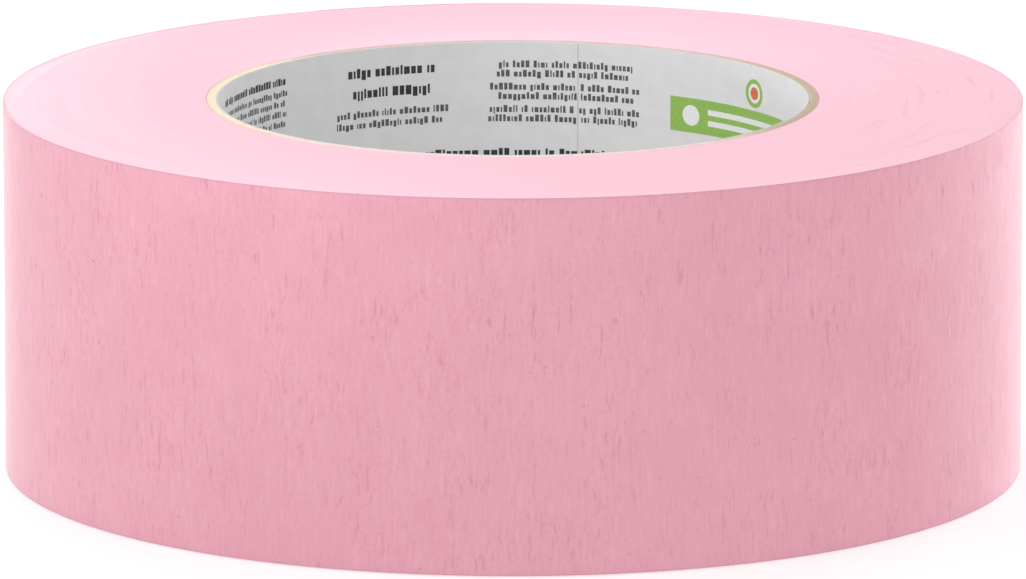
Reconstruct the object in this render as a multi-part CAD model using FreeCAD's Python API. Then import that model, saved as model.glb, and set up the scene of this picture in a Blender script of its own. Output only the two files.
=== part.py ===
import FreeCAD, Part
import math
import os

# A roll of wide crepe-paper masking tape on a paperboard core, lying on one end.
# Millimetres. Z is the axis the tape is wound about, and Z = 0 is the end the roll lies on.
# Azimuths are in degrees, counter-clockwise from +X as seen from above.

# Tape
TAPE_WIDTH = 48.0  # stock width, sold as 1.88 inch
MEAN_OUTER_RADIUS = 65.7  # halfway up the last turn's spiral climb
BACKING_THICKNESS = 0.115
ADHESIVE_THICKNESS = 0.030
TAPE_THICKNESS = BACKING_THICKNESS + ADHESIVE_THICKNESS
TURN_AIR = 0.013  # air wound in between one turn and the next
TURN_PITCH = TAPE_THICKNESS + TURN_AIR

# Core: three paperboard plies round a printed paper liner
BORE_RADIUS = 38.1  # standard 3 inch core
LINER_THICKNESS = 0.10
PLY_THICKNESS = 0.44
PLY_NAMES = ("core_inner_ply", "core_middle_ply", "core_outer_ply")
CORE_INNER_RADIUS = BORE_RADIUS + LINER_THICKNESS
CORE_OUTER_RADIUS = CORE_INNER_RADIUS + len(PLY_NAMES) * PLY_THICKNESS

# Each ply is one strip wound in a helix, with a narrow butt gap between its edges
PLY_STRIP_WIDTH = 101.6  # 4 inch paperboard strip
PLY_GAP = 0.30
FIRST_PLY_GAP_AZIMUTH = 200.0  # where the inner ply's gap meets the lower end
PLY_GAP_STAGGER = 120.0

# The liner is one sheet whose ends lap over each other along the axis
LINER_LAP_AZIMUTH = 77.0
LINER_LAP_LENGTH = 8.0

# The free end of the tape
PEEL_LINE_AZIMUTH = 90.0
TAIL_LENGTH = 27.0
TAIL_LIFT = 0.08  # gap between the loose end's adhesive and the turn below
PEEL_GAP = 0.10  # between the loose end's root and the turn that it belongs to

SPIRAL_STEP = 4.0  # degrees between the points of a spiral curve

TAIL_SWEEP = math.degrees(TAIL_LENGTH / MEAN_OUTER_RADIUS)
FREE_END_AZIMUTH = PEEL_LINE_AZIMUTH + TAIL_SWEEP
PEEL_GAP_SWEEP = math.degrees(PEEL_GAP / MEAN_OUTER_RADIUS)

ORIGIN = FreeCAD.Vector(0, 0, 0)
UP = FreeCAD.Vector(0, 0, 1)


def at(radius, azimuth, height=0.0):
    """The point at this radius, azimuth and height."""
    turn = math.radians(azimuth)
    return FreeCAD.Vector(radius * math.cos(turn), radius * math.sin(turn), height)


def outside_radius(back):
    """Outer radius of the tape, so many degrees back along it from the free end."""
    return MEAN_OUTER_RADIUS + TURN_PITCH * (0.5 - back / 360.0)


def spiral(start, end, offset):
    """An edge along the tape from start to end degrees back from the free end, moved out by offset."""
    count = max(2, math.ceil(abs(end - start) / SPIRAL_STEP))
    points = []
    for i in range(count + 1):
        back = start + (end - start) * i / count
        points.append(at(outside_radius(back) + offset, FREE_END_AZIMUTH - back))
    curve = Part.BSplineCurve()
    curve.interpolate(points)
    return curve.toShape()


def ends(edge):
    """First and last point of an edge."""
    return edge.Vertexes[0].Point, edge.Vertexes[-1].Point


def upright(outline):
    """A solid as tall as the tape is wide, standing on a closed flat outline."""
    face = Part.Face(Part.Wire(Part.__sortEdges__(outline)))
    return face.extrude(FreeCAD.Vector(0, 0, TAPE_WIDTH))


def tube(inner, outer):
    """A plain tube as long as the tape is wide."""
    return Part.makeCylinder(outer, TAPE_WIDTH).cut(Part.makeCylinder(inner, TAPE_WIDTH))


def strip_solid(start, end, inner_offset, outer_offset):
    """A length of the wound strip between two offsets from the tape's outer spiral."""
    inside = spiral(start, end, inner_offset)
    outside = spiral(start, end, outer_offset)
    inside_start, inside_end = ends(inside)
    outside_start, outside_end = ends(outside)
    return upright(
        [
            inside,
            Part.makeLine(inside_end, outside_end),
            outside,
            Part.makeLine(inside_start, outside_start),
        ]
    )


def tape_coil():
    """Every turn but the last: an annulus whose outer wall is a spiral with one step."""
    wall = spiral(0.0, 360.0, -TURN_PITCH)
    high, low = ends(wall)
    outline = upright([wall, Part.makeLine(low, high)])
    return outline.cut(Part.makeCylinder(CORE_OUTER_RADIUS, TAPE_WIDTH))


def tape_last_turn():
    """The outermost turn, from the coil's step round to the peel line."""
    return strip_solid(TAIL_SWEEP + PEEL_GAP_SWEEP, 360.0, -TAPE_THICKNESS, 0.0)


def tail_layer(below, above):
    """One layer of the loose end, between two heights in the thickness of the tape.

    The end is so short that the spiral's climb along it is left out. It turns about the outer
    edge of its root, which is the upright line at the peel line's azimuth.
    """
    underside = outside_radius(TAIL_SWEEP / 2) - TURN_PITCH + TAIL_LIFT
    sector = Part.makeCylinder(underside + above, TAPE_WIDTH, ORIGIN, UP, TAIL_SWEEP)
    layer = sector.cut(Part.makeCylinder(underside + below, TAPE_WIDTH))
    layer.rotate(ORIGIN, UP, PEEL_LINE_AZIMUTH)
    return layer


def printed_liner():
    """The paper sheet, with its lapped end standing one thickness proud of the bore."""
    sheet = tube(BORE_RADIUS, CORE_INNER_RADIUS)
    lap_sweep = math.degrees(LINER_LAP_LENGTH / BORE_RADIUS)
    lap_ring = tube(BORE_RADIUS - LINER_THICKNESS, BORE_RADIUS)
    reach = 2 * BORE_RADIUS
    wedge = Part.makePolygon(
        [
            at(0, 0),
            at(reach, LINER_LAP_AZIMUTH),
            at(reach, LINER_LAP_AZIMUTH + lap_sweep),
            at(0, 0),
        ]
    )
    return sheet.fuse(lap_ring.common(upright(wedge.Edges))).removeSplitter()


def core_ply(inner, gap_azimuth):
    """One ply, with the helical gap between its strip's edges cut right through it."""
    outer = inner + PLY_THICKNESS
    middle = (inner + outer) / 2
    round_once = 2 * math.pi * middle
    lead_angle = math.asin(PLY_STRIP_WIDTH / round_once)
    lead = round_once * math.tan(lead_angle)

    beyond = 3.0  # the cutter runs past both ends
    path = Part.makeHelix(lead, TAPE_WIDTH + 2 * beyond, middle)
    reach = PLY_THICKNESS  # and past both walls
    along = FreeCAD.Vector(0, math.cos(lead_angle), math.sin(lead_angle))
    across = along.cross(FreeCAD.Vector(1, 0, 0)) * (PLY_GAP / 2)
    start = FreeCAD.Vector(middle, 0, 0)
    out = FreeCAD.Vector(reach, 0, 0)
    profile = Part.makePolygon(
        [
            start - out - across,
            start + out - across,
            start + out + across,
            start - out + across,
            start - out - across,
        ]
    )
    cutter = Part.Wire(path).makePipeShell([profile], True, True)
    cutter.translate(FreeCAD.Vector(0, 0, -beyond))
    back_to_end = 360.0 * beyond / lead
    cutter.rotate(ORIGIN, UP, gap_azimuth - back_to_end)
    return tube(inner, outer).cut(cutter)


nodes = {
    "printed_liner": printed_liner(),
    "tape_coil": tape_coil(),
    "tape_last_turn": tape_last_turn(),
    "tail_adhesive": tail_layer(0.0, ADHESIVE_THICKNESS),
    "tail_backing": tail_layer(ADHESIVE_THICKNESS, TAPE_THICKNESS),
}
for number, name in enumerate(PLY_NAMES):
    nodes[name] = core_ply(
        CORE_INNER_RADIUS + number * PLY_THICKNESS,
        FIRST_PLY_GAP_AZIMUTH + number * PLY_GAP_STAGGER,
    )

os.makedirs("parts", exist_ok=True)
for name, shape in nodes.items():
    shape.exportStep("parts/" + name + ".step")
    box = shape.BoundBox
    print(
        name,
        "valid" if shape.isValid() else "NOT VALID",
        len(shape.Solids),
        "solid",
        round(shape.Volume, 3),
        [round(v, 3) for v in (box.XMin, box.XMax, box.YMin, box.YMax, box.ZMin, box.ZMax)],
    )
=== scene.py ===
import math

import bpy
import numpy as np
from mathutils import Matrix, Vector


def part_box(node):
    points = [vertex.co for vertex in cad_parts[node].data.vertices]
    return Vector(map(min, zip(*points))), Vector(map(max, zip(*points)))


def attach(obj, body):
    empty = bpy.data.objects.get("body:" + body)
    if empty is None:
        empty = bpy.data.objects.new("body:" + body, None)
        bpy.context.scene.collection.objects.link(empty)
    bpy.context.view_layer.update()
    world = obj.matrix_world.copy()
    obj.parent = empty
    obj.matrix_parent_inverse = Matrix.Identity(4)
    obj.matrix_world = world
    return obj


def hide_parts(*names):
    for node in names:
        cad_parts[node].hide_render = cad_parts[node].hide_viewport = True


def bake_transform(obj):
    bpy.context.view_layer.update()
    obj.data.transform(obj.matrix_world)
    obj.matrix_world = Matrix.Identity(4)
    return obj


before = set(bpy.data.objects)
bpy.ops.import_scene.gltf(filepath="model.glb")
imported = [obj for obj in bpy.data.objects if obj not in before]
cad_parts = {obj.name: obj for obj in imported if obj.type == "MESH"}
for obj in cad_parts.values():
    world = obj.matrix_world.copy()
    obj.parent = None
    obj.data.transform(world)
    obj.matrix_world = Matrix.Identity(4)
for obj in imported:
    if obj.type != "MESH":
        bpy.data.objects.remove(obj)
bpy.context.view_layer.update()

MM = 0.001

# ---------------------------------------------------------------- dimensions, in millimetres
# The tape's and the core's sizes are the CAD model's. Azimuths are in degrees, counter-clockwise
# from +X as seen from above.
TAPE_WIDTH = (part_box("tape_coil")[1].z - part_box("tape_coil")[0].z) / MM
MEAN_OUTER_RADIUS = 65.7
BACKING = 0.115
ADHESIVE = 0.030
TAPE = BACKING + ADHESIVE
TURN_PITCH = 0.158
TAIL_LENGTH = 27.0
TAIL_LIFT = 0.07  # how far the loose end has risen from where it was wound
PEEL_AZIMUTH = 90.0
TAIL_SWEEP = math.degrees(TAIL_LENGTH / MEAN_OUTER_RADIUS)
FREE_END_AZIMUTH = PEEL_AZIMUTH + TAIL_SWEEP
# How far the free end's pieces reach back past the peel line
ROOT_OVERLAP = math.degrees(2.5 / MEAN_OUTER_RADIUS)

BORE_RADIUS = 38.1
LINER = 0.10
PLY = 0.44
PLY_STRIP_WIDTH = 101.6
PLY_GAP = 0.30
FIRST_PLY_GAP_AZIMUTH = 200.0
PLY_GAP_STAGGER = 120.0
PLIES = 3
CORE_OUTER_RADIUS = BORE_RADIUS + LINER + PLIES * PLY
LAP_AZIMUTH = 77.0
LAP_SWEEP = math.degrees(8.0 / BORE_RADIUS)
LAP_FADE = 5.0  # degrees over which the lapped sheet comes down to the bore
COCKLE = 0.024  # how far the liner's waves reach into the bore
PRINT_ROOT = 0.03  # how far the print's marks reach into the liner
DEGREES_PER_MM = math.degrees(1 / BORE_RADIUS)

# ---------------------------------------------------------------- studio, in metres
CAMERA_ELEVATION = 11.89
CAMERA_DISTANCE = 24.92 * MEAN_OUTER_RADIUS * MM
LOOK_AT_HEIGHT = 0.3449 * MEAN_OUTER_RADIUS * MM
CAMERA_ASIDE = 0.00005
FOCAL_LENGTH = 444.5  # millimetres
SENSOR_WIDTH = 36.0  # millimetres
WORLD_STRENGTH = 0.91
FLOOR_GLOW = 0.52
FLOOR_REACH = 3.0
FLOOR_HEIGHT = -0.0002
MIDDLE = (0.0, 0.0, 0.024)
# name, place, aimed at, width, height, watts, and degrees of spread where it is narrow
LAMPS = (
    ("rim_glow", (-0.06, -0.10, 0.09), (-0.038, -0.056, 0.043), 0.07, 0.015, 0.017),
    ("rim_glow_right", (0.09, -0.10, 0.10), (0.045, -0.047, 0.042), 0.09, 0.015, 0.006),
    ("bore_glow", (-0.045, 0.012, 0.095), (0.022, 0.028, 0.036), 0.03, 0.03, 0.003, 60.0),
    ("back_gloss", (-0.13, 0.22, 0.10), (-0.05, 0.0, 0.048), 0.12, 0.05, 0.195),
    ("left_low", (-0.55, 0.25, 0.06), MIDDLE, 0.20, 0.08, 0.60),
    ("right_back", (0.40, 0.69, 0.20), MIDDLE, 0.30, 0.35, 2.0),
    ("right_low", (0.50, 0.40, 0.02), MIDDLE, 0.12, 0.04, 0.90),
)

# ---------------------------------------------------------------- small tools
SHARP_ANGLE = 40.0  # edges bent by more than this are shaded as corners


class Relief:
    """Smooth random heights from -1 to 1 over a sheet. It repeats every length along u."""

    def __init__(self, seed, cell_u, cell_v, length, width):
        self.cells_u = max(4, round(length / cell_u))
        self.cell_u = length / self.cells_u
        self.cell_v = cell_v
        rows = math.ceil(width / cell_v) + 3
        rng = np.random.default_rng(seed)
        self.table = rng.uniform(-1, 1, (self.cells_u, rows))

    def __call__(self, u, v):
        x = np.asarray(u, float) / self.cell_u
        y = np.clip(np.asarray(v, float) / self.cell_v + 1, 0, self.table.shape[1] - 1.001)
        i, j = np.floor(x).astype(int), np.floor(y).astype(int)
        fx, fy = x - i, y - j
        fx, fy = fx * fx * (3 - 2 * fx), fy * fy * (3 - 2 * fy)
        a, b = i % self.cells_u, (i + 1) % self.cells_u
        low = self.table[a, j] * (1 - fx) + self.table[b, j] * fx
        high = self.table[a, j + 1] * (1 - fx) + self.table[b, j + 1] * fx
        return low * (1 - fy) + high * fy


def smooth(x):
    """0 below 0, 1 above 1, and an S-curve in between."""
    x = np.clip(x, 0, 1)
    return x * x * (3 - 2 * x)


def polar(radius, azimuth, height):
    """An array of points in millimetres from radii, azimuths in degrees and heights."""
    turn = np.radians(azimuth)
    radius, turn, height = np.broadcast_arrays(radius, turn, height)
    return np.stack([radius * np.cos(turn), radius * np.sin(turn), height], axis=-1)


def new_mesh(name, points, faces, corner_uv, material):
    """A smooth-shaded object. Points are in millimetres, and so is corner_uv, one per corner."""
    mesh = bpy.data.meshes.new(name)
    mesh.from_pydata((np.asarray(points).reshape(-1, 3) * MM).tolist(), [], faces)
    if corner_uv is not None:
        layer = mesh.uv_layers.new(name="UVMap")
        layer.data.foreach_set("uv", np.asarray(corner_uv, np.float32).ravel())
    mesh.validate()
    mesh.shade_smooth()
    obj = bpy.data.objects.new(name, mesh)
    bpy.context.scene.collection.objects.link(obj)
    obj.data.materials.append(material)
    return obj


def sweep(name, points, uv, material, ring=False):
    """A closed body from cross-sections. points is (columns, loop, 3) and uv is (columns, loop, 2).

    Each column is one closed loop. A ring joins its last column to its first. Any other body is
    capped, and its loop must hold two sides of equal length, one going up and one coming down.
    """
    columns, loop = points.shape[:2]
    index = np.arange(columns * loop).reshape(columns, loop)
    here = index if ring else index[:-1]
    there = np.roll(index, -1, axis=0) if ring else index[1:]
    quads = np.stack(
        [here, there, np.roll(there, -1, axis=1), np.roll(here, -1, axis=1)], axis=-1
    ).reshape(-1, 4)
    flat_uv = uv.reshape(-1, 2)
    corner_uv = flat_uv[quads]
    if ring:
        # The last column's quads run on past the end of the sheet instead of back across it.
        step = flat_uv[index[-1, 0]][0] - flat_uv[index[-2, 0]][0]
        last = slice((columns - 1) * loop, columns * loop)
        end_u = flat_uv[index[-1]][:, 0] + step
        corner_uv[last, 1, 0] = end_u
        corner_uv[last, 2, 0] = np.roll(end_u, -1)
    else:
        caps = []
        for column, turn in ((0, 1), (columns - 1, -1)):
            for p in range(loop // 2 - 1):
                caps.append(index[column, [p, p + 1, loop - 2 - p, loop - 1 - p]][::turn])
        quads = np.concatenate([quads, caps])
        corner_uv = np.concatenate([corner_uv, flat_uv[np.array(caps)]])
    if signed_volume(points.reshape(-1, 3), quads) < 0:
        quads, corner_uv = quads[:, ::-1], corner_uv[:, ::-1]
    obj = new_mesh(name, points, quads.tolist(), corner_uv, material)
    obj.data.set_sharp_from_angle(angle=math.radians(SHARP_ANGLE))
    return obj


def signed_volume(points, quads):
    """Volume enclosed by quads, negative if they face inwards."""
    a, b, c, d = (points[quads[:, k]] for k in range(4))
    return float(np.sum(np.cross(a, b) * c + np.cross(a, c) * d) / 6)


# ---------------------------------------------------------------- materials


class Shader:
    """A node material, with short ways to add the nodes that these materials use."""

    def __init__(self, name, **sockets):
        self.material = bpy.data.materials.new(name)
        self.material.use_nodes = True
        self.tree = self.material.node_tree
        self.bsdf = self.tree.nodes["Principled BSDF"]
        for socket, value in sockets.items():
            self.bsdf.inputs[socket.replace("_", " ")].default_value = value

    def node(self, kind, **settings):
        made = self.tree.nodes.new(kind)
        for key, value in settings.items():
            setattr(made, key, value)
        return made

    def link(self, source, target):
        self.tree.links.new(source, target)

    def coordinates(self, kind, scale):
        """UV is in millimetres and Object in metres. scale is cells per unit, along each axis."""
        source = self.node("ShaderNodeTexCoord")
        mapping = self.node("ShaderNodeMapping")
        mapping.inputs["Scale"].default_value = scale
        self.link(source.outputs[kind], mapping.inputs["Vector"])
        return mapping.outputs["Vector"]

    def place(self, kind):
        """The X, Y and Z of a kind of texture coordinate, in the same units."""
        source = self.node("ShaderNodeTexCoord")
        parts = self.node("ShaderNodeSeparateXYZ")
        self.link(source.outputs[kind], parts.inputs["Vector"])
        return [parts.outputs[axis] for axis in "XYZ"]

    def joined(self, x, y, z):
        """One vector from three values."""
        made = self.node("ShaderNodeCombineXYZ")
        for axis, value in zip("XYZ", (x, y, z)):
            self.link(value, made.inputs[axis])
        return made.outputs["Vector"]

    def times(self, value, factor):
        return self.maths("MULTIPLY", value, factor)

    def from_axis(self, x, y):
        """Distance from the roll's axis."""
        squares = self.maths("ADD", self.times(x, x), self.times(y, y))
        return self.maths("SQRT", squares)

    def noise(self, vector, detail=2.0, roughness=0.5, distortion=0.0):
        """Noise with one cell per unit of the vector."""
        made = self.node("ShaderNodeTexNoise")
        made.inputs["Scale"].default_value = 1.0
        made.inputs["Detail"].default_value = detail
        made.inputs["Roughness"].default_value = roughness
        made.inputs["Distortion"].default_value = distortion
        self.link(vector, made.inputs["Vector"])
        return made.outputs["Fac"]

    def ramp(self, value, *stops):
        """A smooth ramp through (position, grey or colour) stops."""
        made = self.node("ShaderNodeValToRGB")
        made.color_ramp.interpolation = "EASE"
        elements = made.color_ramp.elements
        while len(elements) < len(stops):
            elements.new(0.5)
        for element, (position, colour) in zip(elements, stops):
            element.position = position
            if not isinstance(colour, tuple):
                colour = (colour, colour, colour)
            element.color = (*colour, 1.0)
        self.link(value, made.inputs["Fac"])
        return made.outputs["Color"]

    def mix(self, factor, first, second, blend="MIX"):
        """Mixes two colours. Each may be a socket or a tuple, and factor a socket or a number."""
        made = self.node("ShaderNodeMix", data_type="RGBA", blend_type=blend)
        for name, kind, value in (
            ("Factor", "VALUE", factor), ("A", "RGBA", first), ("B", "RGBA", second)
        ):
            socket = [s for s in made.inputs if s.name == name and s.type == kind][0]
            if isinstance(value, bpy.types.NodeSocket):
                self.link(value, socket)
            else:
                socket.default_value = (*value, 1.0) if isinstance(value, tuple) else value
        return [s for s in made.outputs if s.type == "RGBA"][0]

    def maths(self, operation, *values):
        made = self.node("ShaderNodeMath", operation=operation)
        for socket, value in zip(made.inputs, values):
            if isinstance(value, bpy.types.NodeSocket):
                self.link(value, socket)
            else:
                socket.default_value = value
        return made.outputs["Value"]

    def bump(self, height, strength, distance, normal=None):
        made = self.node("ShaderNodeBump")
        made.inputs["Strength"].default_value = strength
        made.inputs["Distance"].default_value = distance
        self.link(height, made.inputs["Height"])
        if normal is not None:
            self.link(normal, made.inputs["Normal"])
        return made.outputs["Normal"]

    def finish(self, colour, roughness, normal):
        self.link(colour, self.bsdf.inputs["Base Color"])
        self.link(roughness, self.bsdf.inputs["Roughness"])
        self.link(normal, self.bsdf.inputs["Normal"])
        return self.material


PINK = (0.735, 0.340, 0.422)
PINK_LIGHT = (0.805, 0.415, 0.500)
PINK_DARK = (0.600, 0.235, 0.312)
# Painted shade along the crepe paper's cut rims: its colour, its strength at the edge, and how far
# in it reaches.
RIM_SHADE_COLOUR = (0.53, 0.27, 0.33)
RIM_SHADE_SHARE = 0.50
RIM_SHADE_WIDTH = 0.30  # millimetres
SPECK = (0.40, 0.16, 0.20)


def crepe_paper():
    """Matt crepe paper: creases across the strip with painted shade in their folds, fibres, a few
    specks, and a painted shade line along its cut rims.

    U runs along the strip and V across it.
    """
    s = Shader("crepe_paper", Specular_IOR_Level=0.5, Sheen_Weight=0.5, Sheen_Roughness=0.30)
    crease = s.noise(s.coordinates("UV", (2.0, 0.30, 1.0)), 1.4, 0.5, 0.9)
    fine = s.noise(s.coordinates("UV", (3.4, 0.9, 1.0)), 1.3, 0.5, 1.1)
    grain = s.noise(s.coordinates("UV", (2.6, 2.2, 1.0)), 3.0, 0.6, 0.3)
    cluster = s.noise(s.coordinates("UV", (0.16, 0.11, 1.0)), 2.0, 0.55)
    cloud = s.noise(s.coordinates("UV", (0.07, 0.06, 1.0)), 3.0, 0.6)
    speck = s.noise(s.coordinates("UV", (2.0, 1.2, 1.0)), 1.0, 0.4, 1.2)
    density = s.ramp(cluster, (0.36, 0.10), (0.66, 1.0))
    # Painted shade in the creases: the paper is darkened where the crease height dips.
    fold_shade = s.mix(1.0, s.ramp(crease, (0.24, 0.75), (0.43, 0.0)), density, "MULTIPLY")
    hairs = s.mix(1.0, s.ramp(fine, (0.26, 0.42), (0.46, 0.0)), density, "MULTIPLY")
    colour = s.mix(s.ramp(crease, (0.52, 0.0), (0.76, 0.40)), PINK, PINK_LIGHT)
    colour = s.mix(s.ramp(grain, (0.34, 0.0), (0.70, 0.32)), colour, PINK_LIGHT)
    colour = s.mix(hairs, colour, PINK_DARK)
    colour = s.mix(fold_shade, colour, PINK_DARK)
    colour = s.mix(s.ramp(cloud, (0.35, 0.0), (0.65, 0.14)), colour, PINK_DARK)
    colour = s.mix(s.ramp(speck, (0.745, 0.0), (0.800, 0.60)), colour, SPECK)
    # Painted shade: a thin darker line along the paper's cut rims, where its face meets the roll's
    # ends.
    across = s.place("UV")[1]
    off_middle = s.maths("ABSOLUTE", s.maths("SUBTRACT", across, TAPE_WIDTH / 2))
    inset = s.maths("SUBTRACT", TAPE_WIDTH / 2, off_middle)
    colour = s.mix(s.ramp(inset, (0.02, RIM_SHADE_SHARE), (RIM_SHADE_WIDTH, 0.0)), colour, RIM_SHADE_COLOUR)
    roughness = s.ramp(crease, (0.2, 0.80), (0.8, 0.58))
    normal = s.bump(crease, 0.20, 0.00006)
    normal = s.bump(grain, 0.18, 0.00004, normal)
    return s.finish(colour, roughness, normal)


def tape_edges():
    """The cut edges of the wound turns: smooth, with faint rings one turn apart. Their pink is
    paler and greyer than the paper's face: partly their own tone, partly a painted sheen.
    """
    s = Shader("tape_edges", Specular_IOR_Level=0.3)
    x, y, _ = s.place("Object")
    radius = s.from_axis(x, y)

    def rings(per_metre, along):
        """A vector with cells so many per metre of radius, and so many per metre round the roll."""
        return s.joined(s.times(radius, per_metre), s.times(x, along), s.times(y, along))

    turns = s.noise(rings(1 / (TURN_PITCH * MM), 22.0), 1.0, 0.5)
    bands = s.noise(rings(900.0, 16.0), 2.0, 0.55)
    dust = s.noise(s.coordinates("Object", (900.0, 900.0, 900.0)), 2.0, 0.6)
    # A few short dents along the turns, on the side where the roll has been knocked.
    dent_noise = s.noise(rings(900.0, 55.0), 2.0, 0.6, 0.8)
    knocked = s.ramp(s.times(x, 16.0), (0.60, 0.0), (0.80, 1.0))
    dents = s.mix(1.0, s.ramp(dent_noise, (0.60, 0.0), (0.66, 1.0)), knocked, "MULTIPLY")
    # Paler, greyer pink than the paper's face: partly the edges' own tone, partly a painted sheen.
    colour = s.mix(
        s.ramp(turns, (0.3, 0.0), (0.7, 1.0)), (0.920, 0.535, 0.635), (0.935, 0.550, 0.650)
    )
    colour = s.mix(s.ramp(bands, (0.50, 0.0), (0.75, 0.10)), colour, (0.80, 0.46, 0.55))
    colour = s.mix(s.ramp(dust, (0.70, 0.0), (0.80, 0.35)), colour, (0.95, 0.66, 0.72))
    # Painted shade: besides being sunk by the bump, the dents are darkened in colour.
    colour = s.mix(s.times(dents, 0.40), colour, (0.76, 0.44, 0.53))
    roughness = s.ramp(bands, (0.3, 0.50), (0.7, 0.62))
    normal = s.bump(turns, 0.15, 0.00002)
    normal = s.bump(bands, 0.12, 0.00004, normal)
    normal = s.bump(dents, 0.5, -0.0001, normal)
    return s.finish(colour, roughness, normal)


def paperboard(name, light, dark, gap_shaded=False):
    """Raw paperboard: fibres, and a cut edge whose tint drifts round the core.

    The outer ply is painted darker at its outer rim: a painted shadow of the gap between the core
    and the tape.
    """
    s = Shader(name, Specular_IOR_Level=0.2)
    x, y, _ = s.place("Object")
    fibre = s.noise(s.coordinates("Object", (2600.0, 2600.0, 900.0)), 3.0, 0.65, 0.8)
    patch = s.noise(s.coordinates("Object", (260.0, 260.0, 260.0)), 3.0, 0.6)
    across = s.maths("ADD", s.times(x, 12.0), 0.5)
    stock = s.mix(s.ramp(across, (0.08, 0.0), (0.55, 1.0)), light, dark)
    along = s.maths("ADD", s.times(y, 12.0), 0.5)
    stock = s.mix(s.ramp(along, (0.10, 0.9), (0.29, 0.0)), stock, (0.96, 0.79, 0.78))
    stock = s.mix(s.ramp(along, (0.72, 0.0), (0.88, 0.9)), stock, (0.67, 0.53, 0.50))
    shade = s.mix(1.0, stock, (0.88, 0.86, 0.84), "MULTIPLY")
    colour = s.mix(s.ramp(fibre, (0.3, 0.0), (0.7, 1.0)), shade, stock)
    colour = s.mix(s.ramp(patch, (0.45, 0.0), (0.70, 0.5)), colour, shade)
    if gap_shaded:
        # Painted shadow: a dark mauve band over the outer 0.2 mm of the outer ply, where the gap to
        # the tape lies in shade.
        gap_shade_width = 0.20 * MM
        into_rim = s.maths("SUBTRACT", s.from_axis(x, y), CORE_OUTER_RADIUS * MM - gap_shade_width)
        gap_shadow = s.ramp(s.times(into_rim, 1 / gap_shade_width), (0.2, 0.0), (0.8, 0.9))
        colour = s.mix(gap_shadow, colour, (0.56, 0.36, 0.35))
    roughness = s.ramp(fibre, (0.2, 0.98), (0.8, 0.85))
    normal = s.bump(fibre, 0.6, 0.00006)
    normal = s.bump(patch, 0.4, 0.0001, normal)
    return s.finish(colour, roughness, normal)


def liner_paper():
    """Smooth white printing paper with a faint mottle."""
    s = Shader("liner_paper", Specular_IOR_Level=0.45)
    mottle = s.noise(s.coordinates("UV", (0.35, 0.35, 1.0)), 4.0, 0.6)
    fibre = s.noise(s.coordinates("UV", (4.0, 7.0, 1.0)), 3.0, 0.6, 0.5)
    colour = s.mix(
        s.ramp(mottle, (0.3, 0.0), (0.7, 1.0)), (0.655, 0.650, 0.660), (0.690, 0.685, 0.695)
    )
    colour = s.mix(s.ramp(fibre, (0.62, 0.0), (0.80, 0.30)), colour, (0.63, 0.64, 0.65))
    roughness = s.ramp(fibre, (0.2, 0.42), (0.8, 0.56))
    normal = s.bump(fibre, 0.20, 0.00003)
    normal = s.bump(mottle, 0.15, 0.0002, normal)
    return s.finish(colour, roughness, normal)


def ink(name, full, thin):
    """Printing ink on paper, a little uneven."""
    s = Shader(name, Specular_IOR_Level=0.5)
    cover = s.noise(s.coordinates("Object", (3000.0, 3000.0, 3000.0)), 2.0, 0.6)
    colour = s.mix(s.ramp(cover, (0.35, 0.0), (0.75, 1.0)), full, thin)
    roughness = s.ramp(cover, (0.2, 0.35), (0.8, 0.5))
    normal = s.bump(cover, 0.15, 0.00002)
    return s.finish(colour, roughness, normal)


def sticky_film():
    """Pressure-sensitive adhesive: a thin glossy coat that lets the paper's colour through."""
    s = Shader("sticky_film", Specular_IOR_Level=0.55, Coat_Weight=0.35, Coat_Roughness=0.18)
    ripple = s.noise(s.coordinates("UV", (1.6, 0.5, 1.0)), 3.0, 0.6, 0.6)
    grain = s.noise(s.coordinates("UV", (8.0, 8.0, 1.0)), 2.0, 0.5)
    colour = s.mix(
        s.ramp(ripple, (0.3, 0.0), (0.7, 1.0)), (0.66, 0.31, 0.36), (0.74, 0.40, 0.44)
    )
    colour = s.mix(s.ramp(grain, (0.6, 0.0), (0.8, 0.25)), colour, (0.82, 0.56, 0.56))
    roughness = s.ramp(ripple, (0.2, 0.22), (0.8, 0.40))
    normal = s.bump(ripple, 0.16, 0.00005)
    return s.finish(colour, roughness, normal)


# ---------------------------------------------------------------- tape


def outside_radius(back):
    """Outer radius of the tape, so many degrees back along it from the free end."""
    return MEAN_OUTER_RADIUS + TURN_PITCH * (0.5 - np.asarray(back, float) / 360.0)


STRIP_LENGTH = 2 * math.pi * MEAN_OUTER_RADIUS
creases = Relief(11, 0.85, 3.2, STRIP_LENGTH, TAPE_WIDTH)
wrinkles = Relief(12, 2.6, 9.0, STRIP_LENGTH, TAPE_WIDTH)
waves = Relief(13, 17.0, 16.0, STRIP_LENGTH, TAPE_WIDTH)


def crepe(back, height):
    """How far the crepe paper stands out or in there, in millimetres."""
    along = np.radians(back) * MEAN_OUTER_RADIUS
    return (
        0.007 * creases(along, height)
        + 0.011 * wrinkles(along, height)
        + 0.030 * waves(along, height)
    )


def heights(count, margin):
    """Heights from the tape's lower edge to its upper edge, with one just inside each edge."""
    return np.concatenate(
        [[0.0, margin], np.linspace(0, TAPE_WIDTH, count)[1:-1], [TAPE_WIDTH - margin, TAPE_WIDTH]]
    )


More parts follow.
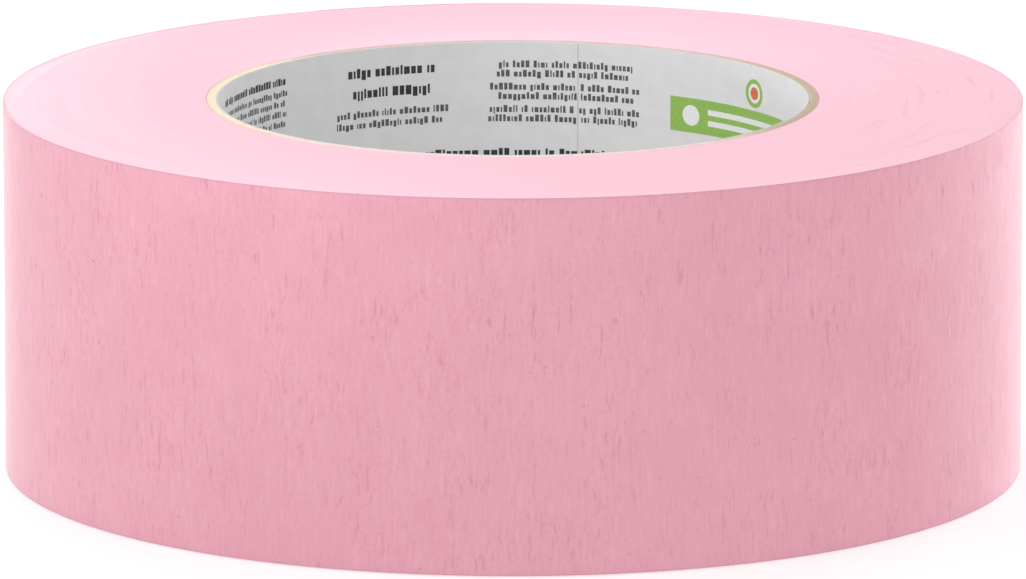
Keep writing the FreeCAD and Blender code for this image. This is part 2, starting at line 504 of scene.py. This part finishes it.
def strip(name, back, top, bottom, rows, material, lift=None, rim=None):
    """A length of tape.

    top and bottom are offsets from the roll's outer spiral, and lift raises the tape off it. The
    cut edges get the material rim.
    """
    corner = 0.02  # how much the edges are rounded
    up = heights(rows, 2 * corner)
    back = back[:, None]
    z = up[None, :]
    rounding = np.where((z <= 0.0) | (z >= TAPE_WIDTH), corner, 0.0)
    raised = 0.0 if lift is None else lift(back)
    relief = crepe(back, z)
    outer = outside_radius(back) + top + raised + relief - rounding
    inner = outside_radius(back) + bottom + raised + relief + rounding
    azimuth = FREE_END_AZIMUTH - back
    loop = np.concatenate([polar(outer, azimuth, z), polar(inner, azimuth, z)[:, ::-1]], axis=1)
    along = np.radians(back) * MEAN_OUTER_RADIUS + 0 * z
    uv = np.stack([along, 0 * along + z], axis=-1)
    uv = np.concatenate([uv, uv[:, ::-1]], axis=1)
    piece = sweep(name, loop, uv, material)
    if rim is not None:
        # Going round a loop, the quads next to the tape's two edges.
        piece.data.materials.append(rim)
        rims = np.zeros((len(back) - 1, loop.shape[1]), int)
        rims[:, [up.size - 1, up.size, -2, -1]] = 1
        slots = np.zeros(len(piece.data.polygons), int)
        slots[:rims.size] = rims.ravel()
        piece.data.polygons.foreach_set("material_index", slots)
    return piece


def tail_lift(back):
    """The loose end rises a little from the peel line on."""
    return TAIL_LIFT * smooth((TAIL_SWEEP - back) / 5.0)


def build_last_turn(paper, edges):
    """The last turn, from just before the peel line back round to the step in the coil."""
    back = np.linspace(TAIL_SWEEP + ROOT_OVERLAP, 359.9, 1250)
    last_turn = strip("outer_turn", back, 0.0, -TAPE, 31, paper, rim=edges)
    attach(last_turn, "roll")
    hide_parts("tape_last_turn")


def build_free_end(paper, edges, film):
    """The free end's two layers, and the short length of tape behind its peel line."""
    loose = np.linspace(0, TAIL_SWEEP, 120)
    behind = np.linspace(TAIL_SWEEP, TAIL_SWEEP + ROOT_OVERLAP, 12)
    back = np.concatenate([loose, behind[1:]])
    backing = strip("free_end_backing", back, 0.0, -BACKING, 31, paper, tail_lift, rim=edges)
    adhesive = strip("free_end_adhesive", back, -BACKING, -TAPE, 31, film, tail_lift)
    for piece, node, slot in (
        (backing, "tail_backing", "tape_backing"),
        (adhesive, "tail_adhesive", "adhesive"),
    ):
        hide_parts(node)
        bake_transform(piece)


def build_coil(paper, edges):
    """The turns under the last one: a wall of crepe paper between two ringed ends."""
    wall_share = 0.6  # the covered wall is this much as uneven as the last turn
    inset = 0.03  # how far the ringed ends stop short of the wall
    off_floor = 0.022  # keeps the lower end's rings above the floor
    back = np.linspace(0.0, 359.92, 700)[:, None]
    outer = outside_radius(back) - TURN_PITCH
    up = heights(15, 0.05)[None, :]
    wall = outer + wall_share * crepe(back, up)
    rings = np.linspace(1, 0, 60)[None, :]
    ring_radius = CORE_OUTER_RADIUS + (outer - inset - CORE_OUTER_RADIUS) * rings
    azimuth = FREE_END_AZIMUTH - back
    top = TAPE_WIDTH + end_relief(ring_radius, azimuth, 21)
    bottom = off_floor + 0.5 * end_relief(ring_radius, azimuth, 31)
    loop = np.concatenate(
        [
            polar(wall, azimuth, up),
            polar(ring_radius, azimuth, top),
            polar(ring_radius, azimuth, bottom)[:, ::-1],
        ],
        axis=1,
    )
    along = np.radians(back) * MEAN_OUTER_RADIUS
    v = np.concatenate([up + 0 * back, TAPE_WIDTH + 0 * top, 0 * bottom], axis=1)
    uv = np.stack([along + 0 * v, v], axis=-1)
    coil = sweep("wound_coil", loop, uv, edges, ring=True)
    coil.data.materials.append(paper)
    slots = np.zeros(len(coil.data.polygons), int)
    round_loop = np.arange(len(slots)) % loop.shape[1]
    slots[round_loop < up.size - 1] = 1
    coil.data.polygons.foreach_set("material_index", slots)
    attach(coil, "roll")
    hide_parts("tape_coil")


def build_tape():
    paper = crepe_paper()
    edges = tape_edges()
    film = sticky_film()
    build_last_turn(paper, edges)
    build_free_end(paper, edges, film)
    build_coil(paper, edges)


def end_relief(radius, azimuth, seed):
    """How far the ends of the turns stand out there, in millimetres: fine and broad rings.

    On average they lie a little inside the tape's width.
    """
    r = radius - CORE_OUTER_RADIUS
    along = np.radians(azimuth % 360) * MEAN_OUTER_RADIUS
    along = along + 0 * r
    fine = Relief(seed, 60.0, 0.55, STRIP_LENGTH, 30.0)(along, r)
    broad = Relief(seed + 1, 90.0, 2.6, STRIP_LENGTH, 30.0)(along, r)
    return 0.006 * fine + 0.014 * broad - 0.02


# ---------------------------------------------------------------- core


# name, CAD node, slot
BOARDS = (
    ("core_inner_board", "core_inner_ply", "inner_board"),
    ("core_middle_board", "core_middle_ply", "middle_board"),
    ("core_outer_board", "core_outer_ply", "outer_board"),
)
# Each board's colours where it is pale and dark, from the inner one out
BOARD_COLOURS = (
    ((0.95, 0.84, 0.66), (0.58, 0.51, 0.38)),
    ((0.95, 0.83, 0.63), (0.55, 0.46, 0.34)),
    ((0.93, 0.80, 0.61), (0.60, 0.43, 0.35)),
)


def build_ply(number, name, node, board):
    """One ply: a tube with ragged ends, open along the helical gap between its strip's edges."""
    inner = BORE_RADIUS + LINER + number * PLY
    outer = inner + PLY
    middle = (inner + outer) / 2
    round_once = 2 * math.pi * middle
    lead_angle = math.asin(PLY_STRIP_WIDTH / round_once)
    degrees_per_mm = 360.0 / (round_once * math.tan(lead_angle))
    half_gap = math.degrees(PLY_GAP / math.sin(lead_angle) / 2 / middle)
    gap = FIRST_PLY_GAP_AZIMUTH + number * PLY_GAP_STAGGER

    column = np.linspace(half_gap, 360 - half_gap, 500)[:, None]
    round_core = np.radians(column) * middle
    fuzz = Relief(50 + number, 0.7, 1.0, round_once, 3.0)
    tear = Relief(60 + number, 6.0, 1.0, round_once, 3.0)

    def end_height(share, side):
        """Height of an end above its flat plane, at a share of the wall's thickness."""
        ragged = 0.018 * fuzz(round_core, share + side) + 0.020 * tear(round_core, share)
        crown = 0.05 * (2 * share - 1) ** 4
        return ragged - crown

    body = np.linspace(0, TAPE_WIDTH, 66)[1:-1]
    walls = np.tile(body, (len(column), 1))
    across = np.array([0.0, 0.12, 0.5, 0.88, 1.0])
    outward = inner + (outer - inner) * across
    sunk_top, sunk_bottom = 0.03, 0.05  # how far the ends lie inside the tape's width
    top = [TAPE_WIDTH - sunk_top + end_height(a, 0.0) for a in across]
    bottom = [sunk_bottom - end_height(a, 1.0) for a in across]
    half = len(across) // 2
    # Up the inner wall from the middle of the lower end to the middle of the upper end, then down.
    z_up = np.concatenate([*bottom[half::-1], walls, *top[:half + 1]], axis=1)
    r_up = np.concatenate([outward[half::-1], np.full(len(body), inner), outward[:half + 1]])
    z_down = np.concatenate([*top[half:], walls[:, ::-1], *bottom[:half - 1:-1]], axis=1)
    r_down = np.concatenate([outward[half:], np.full(len(body), outer), outward[:half - 1:-1]])
    # The two sides meet at the middle of each end, but their points stand a hair apart.
    hair = 0.002
    r_up[[0, -1]] -= hair
    r_down[[0, -1]] += hair
    z = np.concatenate([z_up, z_down], axis=1)
    r = np.concatenate([r_up, r_down])[None, :]
    azimuth = gap + column + degrees_per_mm * z
    uv = np.stack([round_core + 0 * z, z + r], axis=-1)
    ply = sweep(name, polar(r, azimuth, z), uv, board)
    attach(ply, "roll")
    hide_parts(node)


def build_core():
    for number, (name, node, slot) in enumerate(BOARDS):
        light, dark = BOARD_COLOURS[number]
        board = paperboard(name, light, dark, gap_shaded=number == PLIES - 1)
        build_ply(number, name, node, board)


def liner_radius(azimuth):
    """Radius of the liner's inner face at an azimuth, which steps in where the sheet laps."""
    past = (np.asarray(azimuth, float) - LAP_AZIMUTH) % 360
    lapped = 1 - smooth((past - LAP_SWEEP) / LAP_FADE)
    return BORE_RADIUS - LINER * lapped


def build_liner():
    """One sheet, from its hidden end clockwise round the bore and on over that end."""
    past = np.linspace(360 + LAP_SWEEP, 0.0, 760)[:, None]
    z = np.linspace(0, TAPE_WIDTH, 25)[None, :]
    over = smooth(1 - (past - LAP_SWEEP) / LAP_FADE)
    length = 2 * math.pi * BORE_RADIUS
    cockle = Relief(70, 14.0, 12.0, length, TAPE_WIDTH)
    round_bore = np.radians(past) * BORE_RADIUS
    inner = BORE_RADIUS - LINER * over + COCKLE / 2 * (cockle(round_bore, z) - 1)
    glue_gap, edge_gap = 0.006, 0.02  # to the core's wall, and to the planes of the roll's ends
    outer = inner + LINER - glue_gap
    z_face = np.clip(z, edge_gap, TAPE_WIDTH - edge_gap) + 0 * past
    azimuth = LAP_AZIMUTH + past
    loop = np.concatenate(
        [polar(inner, azimuth, z_face), polar(outer, azimuth, z_face)[:, ::-1]], axis=1
    )
    uv = np.stack([round_bore + 0 * z, z + 0 * past], axis=-1)
    uv = np.concatenate([uv, uv[:, ::-1]], axis=1)
    liner = sweep("liner_sheet", loop, uv, liner_paper())
    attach(liner, "roll")
    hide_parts("printed_liner")


# ---------------------------------------------------------------- print on the liner


class Print:
    """Flat printed marks of one ink, which stand out from the liner's inner face by lift."""

    def __init__(self, name, material, lift):
        self.name, self.material, self.lift = name, material, lift
        self.points, self.faces = [], []

    def shape(self, outline):
        """A closed flat shape from upright slices, each an (azimuth, low, high)."""
        base = len(self.points)
        for azimuth, low, high in outline:
            # The cockled liner's face is nowhere further in than this.
            face = float(liner_radius(azimuth)) - COCKLE
            for radius in (face - self.lift, face + PRINT_ROOT):
                self.points += list(polar(radius, azimuth, np.array([low, high])))
        for a in range(base, len(self.points) - 4, 4):
            b = a + 4
            self.faces += [
                (a, b, b + 1, a + 1),
                (a + 2, a + 3, b + 3, b + 2),
                (a, a + 2, b + 2, b),
                (a + 1, b + 1, b + 3, a + 3),
            ]
        e = len(self.points) - 4
        self.faces += [(base, base + 1, base + 3, base + 2), (e, e + 2, e + 3, e + 1)]

    def panel(self, left, right, low, high, columns=1):
        """An upright rectangle between two azimuths and two heights. left is the larger azimuth."""
        self.shape([(left + (right - left) * i / columns, low, high) for i in range(columns + 1)])

    def disc(self, azimuth, height, radius, columns=24):
        """A round mark about a centre."""
        outline = []
        for i in range(columns + 1):
            turn = math.pi * (0.01 + 0.98 * i / columns)
            half = radius * math.sin(turn)
            place = azimuth + radius * math.cos(turn) * DEGREES_PER_MM
            outline.append((place, height - half, height + half))
        self.shape(outline)

    def build(self):
        obj = new_mesh(self.name, self.points, self.faces, None, self.material)
        obj.data.shade_flat()
        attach(obj, "roll")


def greek_row(printed, rng, left, right, low, cap, heavy):
    """A row of plain upright blocks, spaced like words, that stands for a line of small print.

    Every size is a share of cap, the height of the tall blocks.
    """
    width = cap * (0.52 if heavy else 0.44)
    gap = cap * (0.16 if heavy else 0.20)
    small = cap * (0.80 if heavy else 0.72)
    azimuth = left
    while azimuth > right + 1.5 * width * DEGREES_PER_MM:
        for _ in range(rng.integers(2, 10)):
            block = width * rng.choice([0.45, 0.8, 1.0, 1.0, 1.25])
            end = azimuth - block * DEGREES_PER_MM
            if end < right:
                break
            kind = rng.random()
            top = low + (cap if kind < 0.34 else small)
            foot = low - (0.22 * cap if kind > 0.90 else 0.0)
            # No block crosses the edge of the liner's lap.
            if not end < LAP_AZIMUTH < azimuth:
                printed.panel(azimuth, end, foot, top)
            azimuth = end - gap * DEGREES_PER_MM
        azimuth -= cap * 0.42 * DEGREES_PER_MM


def greek_block(
    printed, rng, centre, depth, lines, spacing, longest, cap, heavy=False, ragged=0.25
):
    """Rows centred on an azimuth. depth is from the tape's upper edge to the first row's foot.

    longest is the longest row's length, and ragged the most that a row falls short of it.
    """
    for line in range(lines):
        length = longest * (1 - ragged * rng.random())
        half = length / 2 * DEGREES_PER_MM
        foot = TAPE_WIDTH - depth - line * spacing
        greek_row(printed, rng, centre + half, centre - half, foot, cap, heavy)


# name, ink, full colour, thin colour, and how far the marks stand out
INKS = (
    ("liner_print_dark", "ink_dark", (0.012, 0.012, 0.014), (0.04, 0.04, 0.045), 0.006),
    ("liner_print_grey", "ink_grey", (0.060, 0.060, 0.065), (0.13, 0.13, 0.14), 0.006),
    ("liner_label_green", "ink_green", (0.235, 0.43, 0.07), (0.29, 0.48, 0.105), 0.005),
    ("liner_label_white", "ink_white", (0.72, 0.73, 0.72), (0.78, 0.78, 0.77), 0.011),
    ("liner_label_orange", "ink_orange", (0.55, 0.115, 0.045), (0.62, 0.18, 0.08), 0.017),
)
LABEL_SWEEP = 39.0  # degrees
SHORT_BAR = 7.0  # degrees by which a label's lower bar is the shorter


def build_print():
    rng = np.random.default_rng(5)
    dark, grey, green, white, orange = printed = [
        Print(name, ink(ink_name, full, thin), lift) for name, ink_name, full, thin, lift in INKS
    ]

    # The same layout is printed twice round the bore.
    for half_turn in (0.0, 180.0):
        # Upper band: a short notice, a title over two rows, and three pairs of rows.
        notice, title, pairs = 154 + half_turn, 115 + half_turn, 79 + half_turn
        greek_block(dark, rng, notice, 3.0, 1, 0, 18, 0.95, heavy=True, ragged=0)
        greek_block(grey, rng, notice, 4.5, 4, 1.35, 18, 0.80)
        greek_block(dark, rng, title, 3.8, 2, 2.75, 14, 1.25, heavy=True)
        greek_block(grey, rng, title, 9.1, 2, 1.45, 19, 0.90)
        for pair in range(3):
            greek_block(grey, rng, pairs, 3.4 + 3 * pair, 2, 1.25, 23, 0.92)

        # Middle band: three headings in a row over two columns of paragraphs.
        for centre, length in ((95, 24), (68, 11), (38, 24)):
            centre += half_turn
            greek_block(dark, rng, centre, 15.5, 1, 0, length, 1.25, heavy=True, ragged=0)
        for centre in (142 + half_turn, 87 + half_turn):
            for first, lines in ((18.6, 4), (26.2, 3)):
                greek_block(grey, rng, centre, first, lines, 1.6, 32, 0.85, ragged=0.06)

        # Lower band: a heading and one row.
        greek_block(dark, rng, 147 + half_turn, 39.8, 1, 0, 25, 1.30, heavy=True, ragged=0)
        greek_block(grey, rng, 91 + half_turn, 39.8, 1, 0, 38, 0.90, ragged=0)

        # A label with a plain round emblem above it, and a larger label below.
        build_label(green, white, 57 + half_turn, TAPE_WIDTH - 10.6, 4.6)
        for mark, radius in ((green, 1.9), (white, 1.3), (orange, 0.85)):
            mark.disc(34 + half_turn, TAPE_WIDTH - 3.7, radius)
        build_label(green, white, 50 + half_turn, 14.0, 8.0)
    for marks in printed:
        marks.build()


def build_label(ground, mark, left, low, tall):
    """A plain coloured panel with a disc and two bars on it. left is its left end's azimuth."""
    right = left - LABEL_SWEEP
    ground.panel(left, right, low, low + tall, columns=26)
    disc_centre = left - 0.72 * tall * DEGREES_PER_MM
    middle = low + tall / 2
    mark.disc(disc_centre, middle, 0.30 * tall)
    bar_left = disc_centre - 0.62 * tall * DEGREES_PER_MM
    bar_right = right + 0.35 * tall * DEGREES_PER_MM
    near, far = 0.08 * tall, 0.24 * tall  # the bars' edges, from the middle
    mark.panel(bar_left, bar_right, middle + near, middle + far, columns=14)
    mark.panel(bar_left, bar_right + SHORT_BAR, middle - far, middle - near, columns=10)


# ---------------------------------------------------------------- studio


def aim(obj, target):
    """Turns an object so that its -Z points at the target."""
    direction = Vector(target) - Vector(obj.location)
    obj.rotation_euler = direction.to_track_quat("-Z", "Y").to_euler()


def area_light(name, place, target, width, height, power, spread=180.0):
    """A lamp that lights the scene but isn't seen itself."""
    data = bpy.data.lights.new(name, "AREA")
    data.shape = "RECTANGLE"
    data.size, data.size_y = width, height
    data.energy = power
    data.spread = math.radians(spread)
    obj = bpy.data.objects.new(name, data)
    bpy.context.scene.collection.objects.link(obj)
    obj.location = place
    obj.visible_camera = False
    aim(obj, target)


def build_world():
    world = bpy.data.worlds.new("studio")
    bpy.context.scene.world = world
    world.use_nodes = True
    background = world.node_tree.nodes["Background"]
    background.inputs["Color"].default_value = (1.0, 1.0, 1.0, 1.0)
    background.inputs["Strength"].default_value = WORLD_STRENGTH


def floor_white():
    """A pale matt floor that glows a little, so that it comes out white."""
    s = Shader(
        "floor_white",
        Specular_IOR_Level=0.1,
        Roughness=0.9,
        Emission_Color=(1.0, 1.0, 1.0, 1.0),
        Emission_Strength=FLOOR_GLOW,
    )
    haze = s.noise(s.coordinates("Object", (3.0, 3.0, 3.0)), 2.0, 0.5)
    colour = s.mix(s.ramp(haze, (0.3, 0.0), (0.7, 1.0)), (0.49, 0.49, 0.49), (0.51, 0.51, 0.51))
    s.link(colour, s.bsdf.inputs["Base Color"])
    return s.material


def build_floor():
    corners = ((-1, -1), (1, -1), (1, 1), (-1, 1))
    mesh = bpy.data.meshes.new("floor")
    mesh.from_pydata(
        [(FLOOR_REACH * x, FLOOR_REACH * y, FLOOR_HEIGHT) for x, y in corners], [], [(0, 1, 2, 3)]
    )
    floor = bpy.data.objects.new("floor", mesh)
    bpy.context.scene.collection.objects.link(floor)
    floor.data.materials.append(floor_white())


def build_camera():
    scene = bpy.context.scene
    data = bpy.data.cameras.new("camera")
    data.sensor_width = SENSOR_WIDTH
    data.lens = FOCAL_LENGTH
    data.clip_start, data.clip_end = 0.05, 20.0
    camera = bpy.data.objects.new("camera", data)
    scene.collection.objects.link(camera)
    elevation = math.radians(CAMERA_ELEVATION)
    camera.location = (
        CAMERA_ASIDE,
        -CAMERA_DISTANCE * math.cos(elevation),
        LOOK_AT_HEIGHT + CAMERA_DISTANCE * math.sin(elevation),
    )
    aim(camera, (CAMERA_ASIDE, 0.0, LOOK_AT_HEIGHT))
    scene.camera = camera
    scene.view_settings.view_transform = "Standard"
    scene.view_settings.look = "None"


def build_studio():
    build_world()
    build_floor()
    for lamp in LAMPS:
        area_light(*lamp)
    build_camera()


build_tape()
build_core()
build_liner()
build_print()
build_studio()
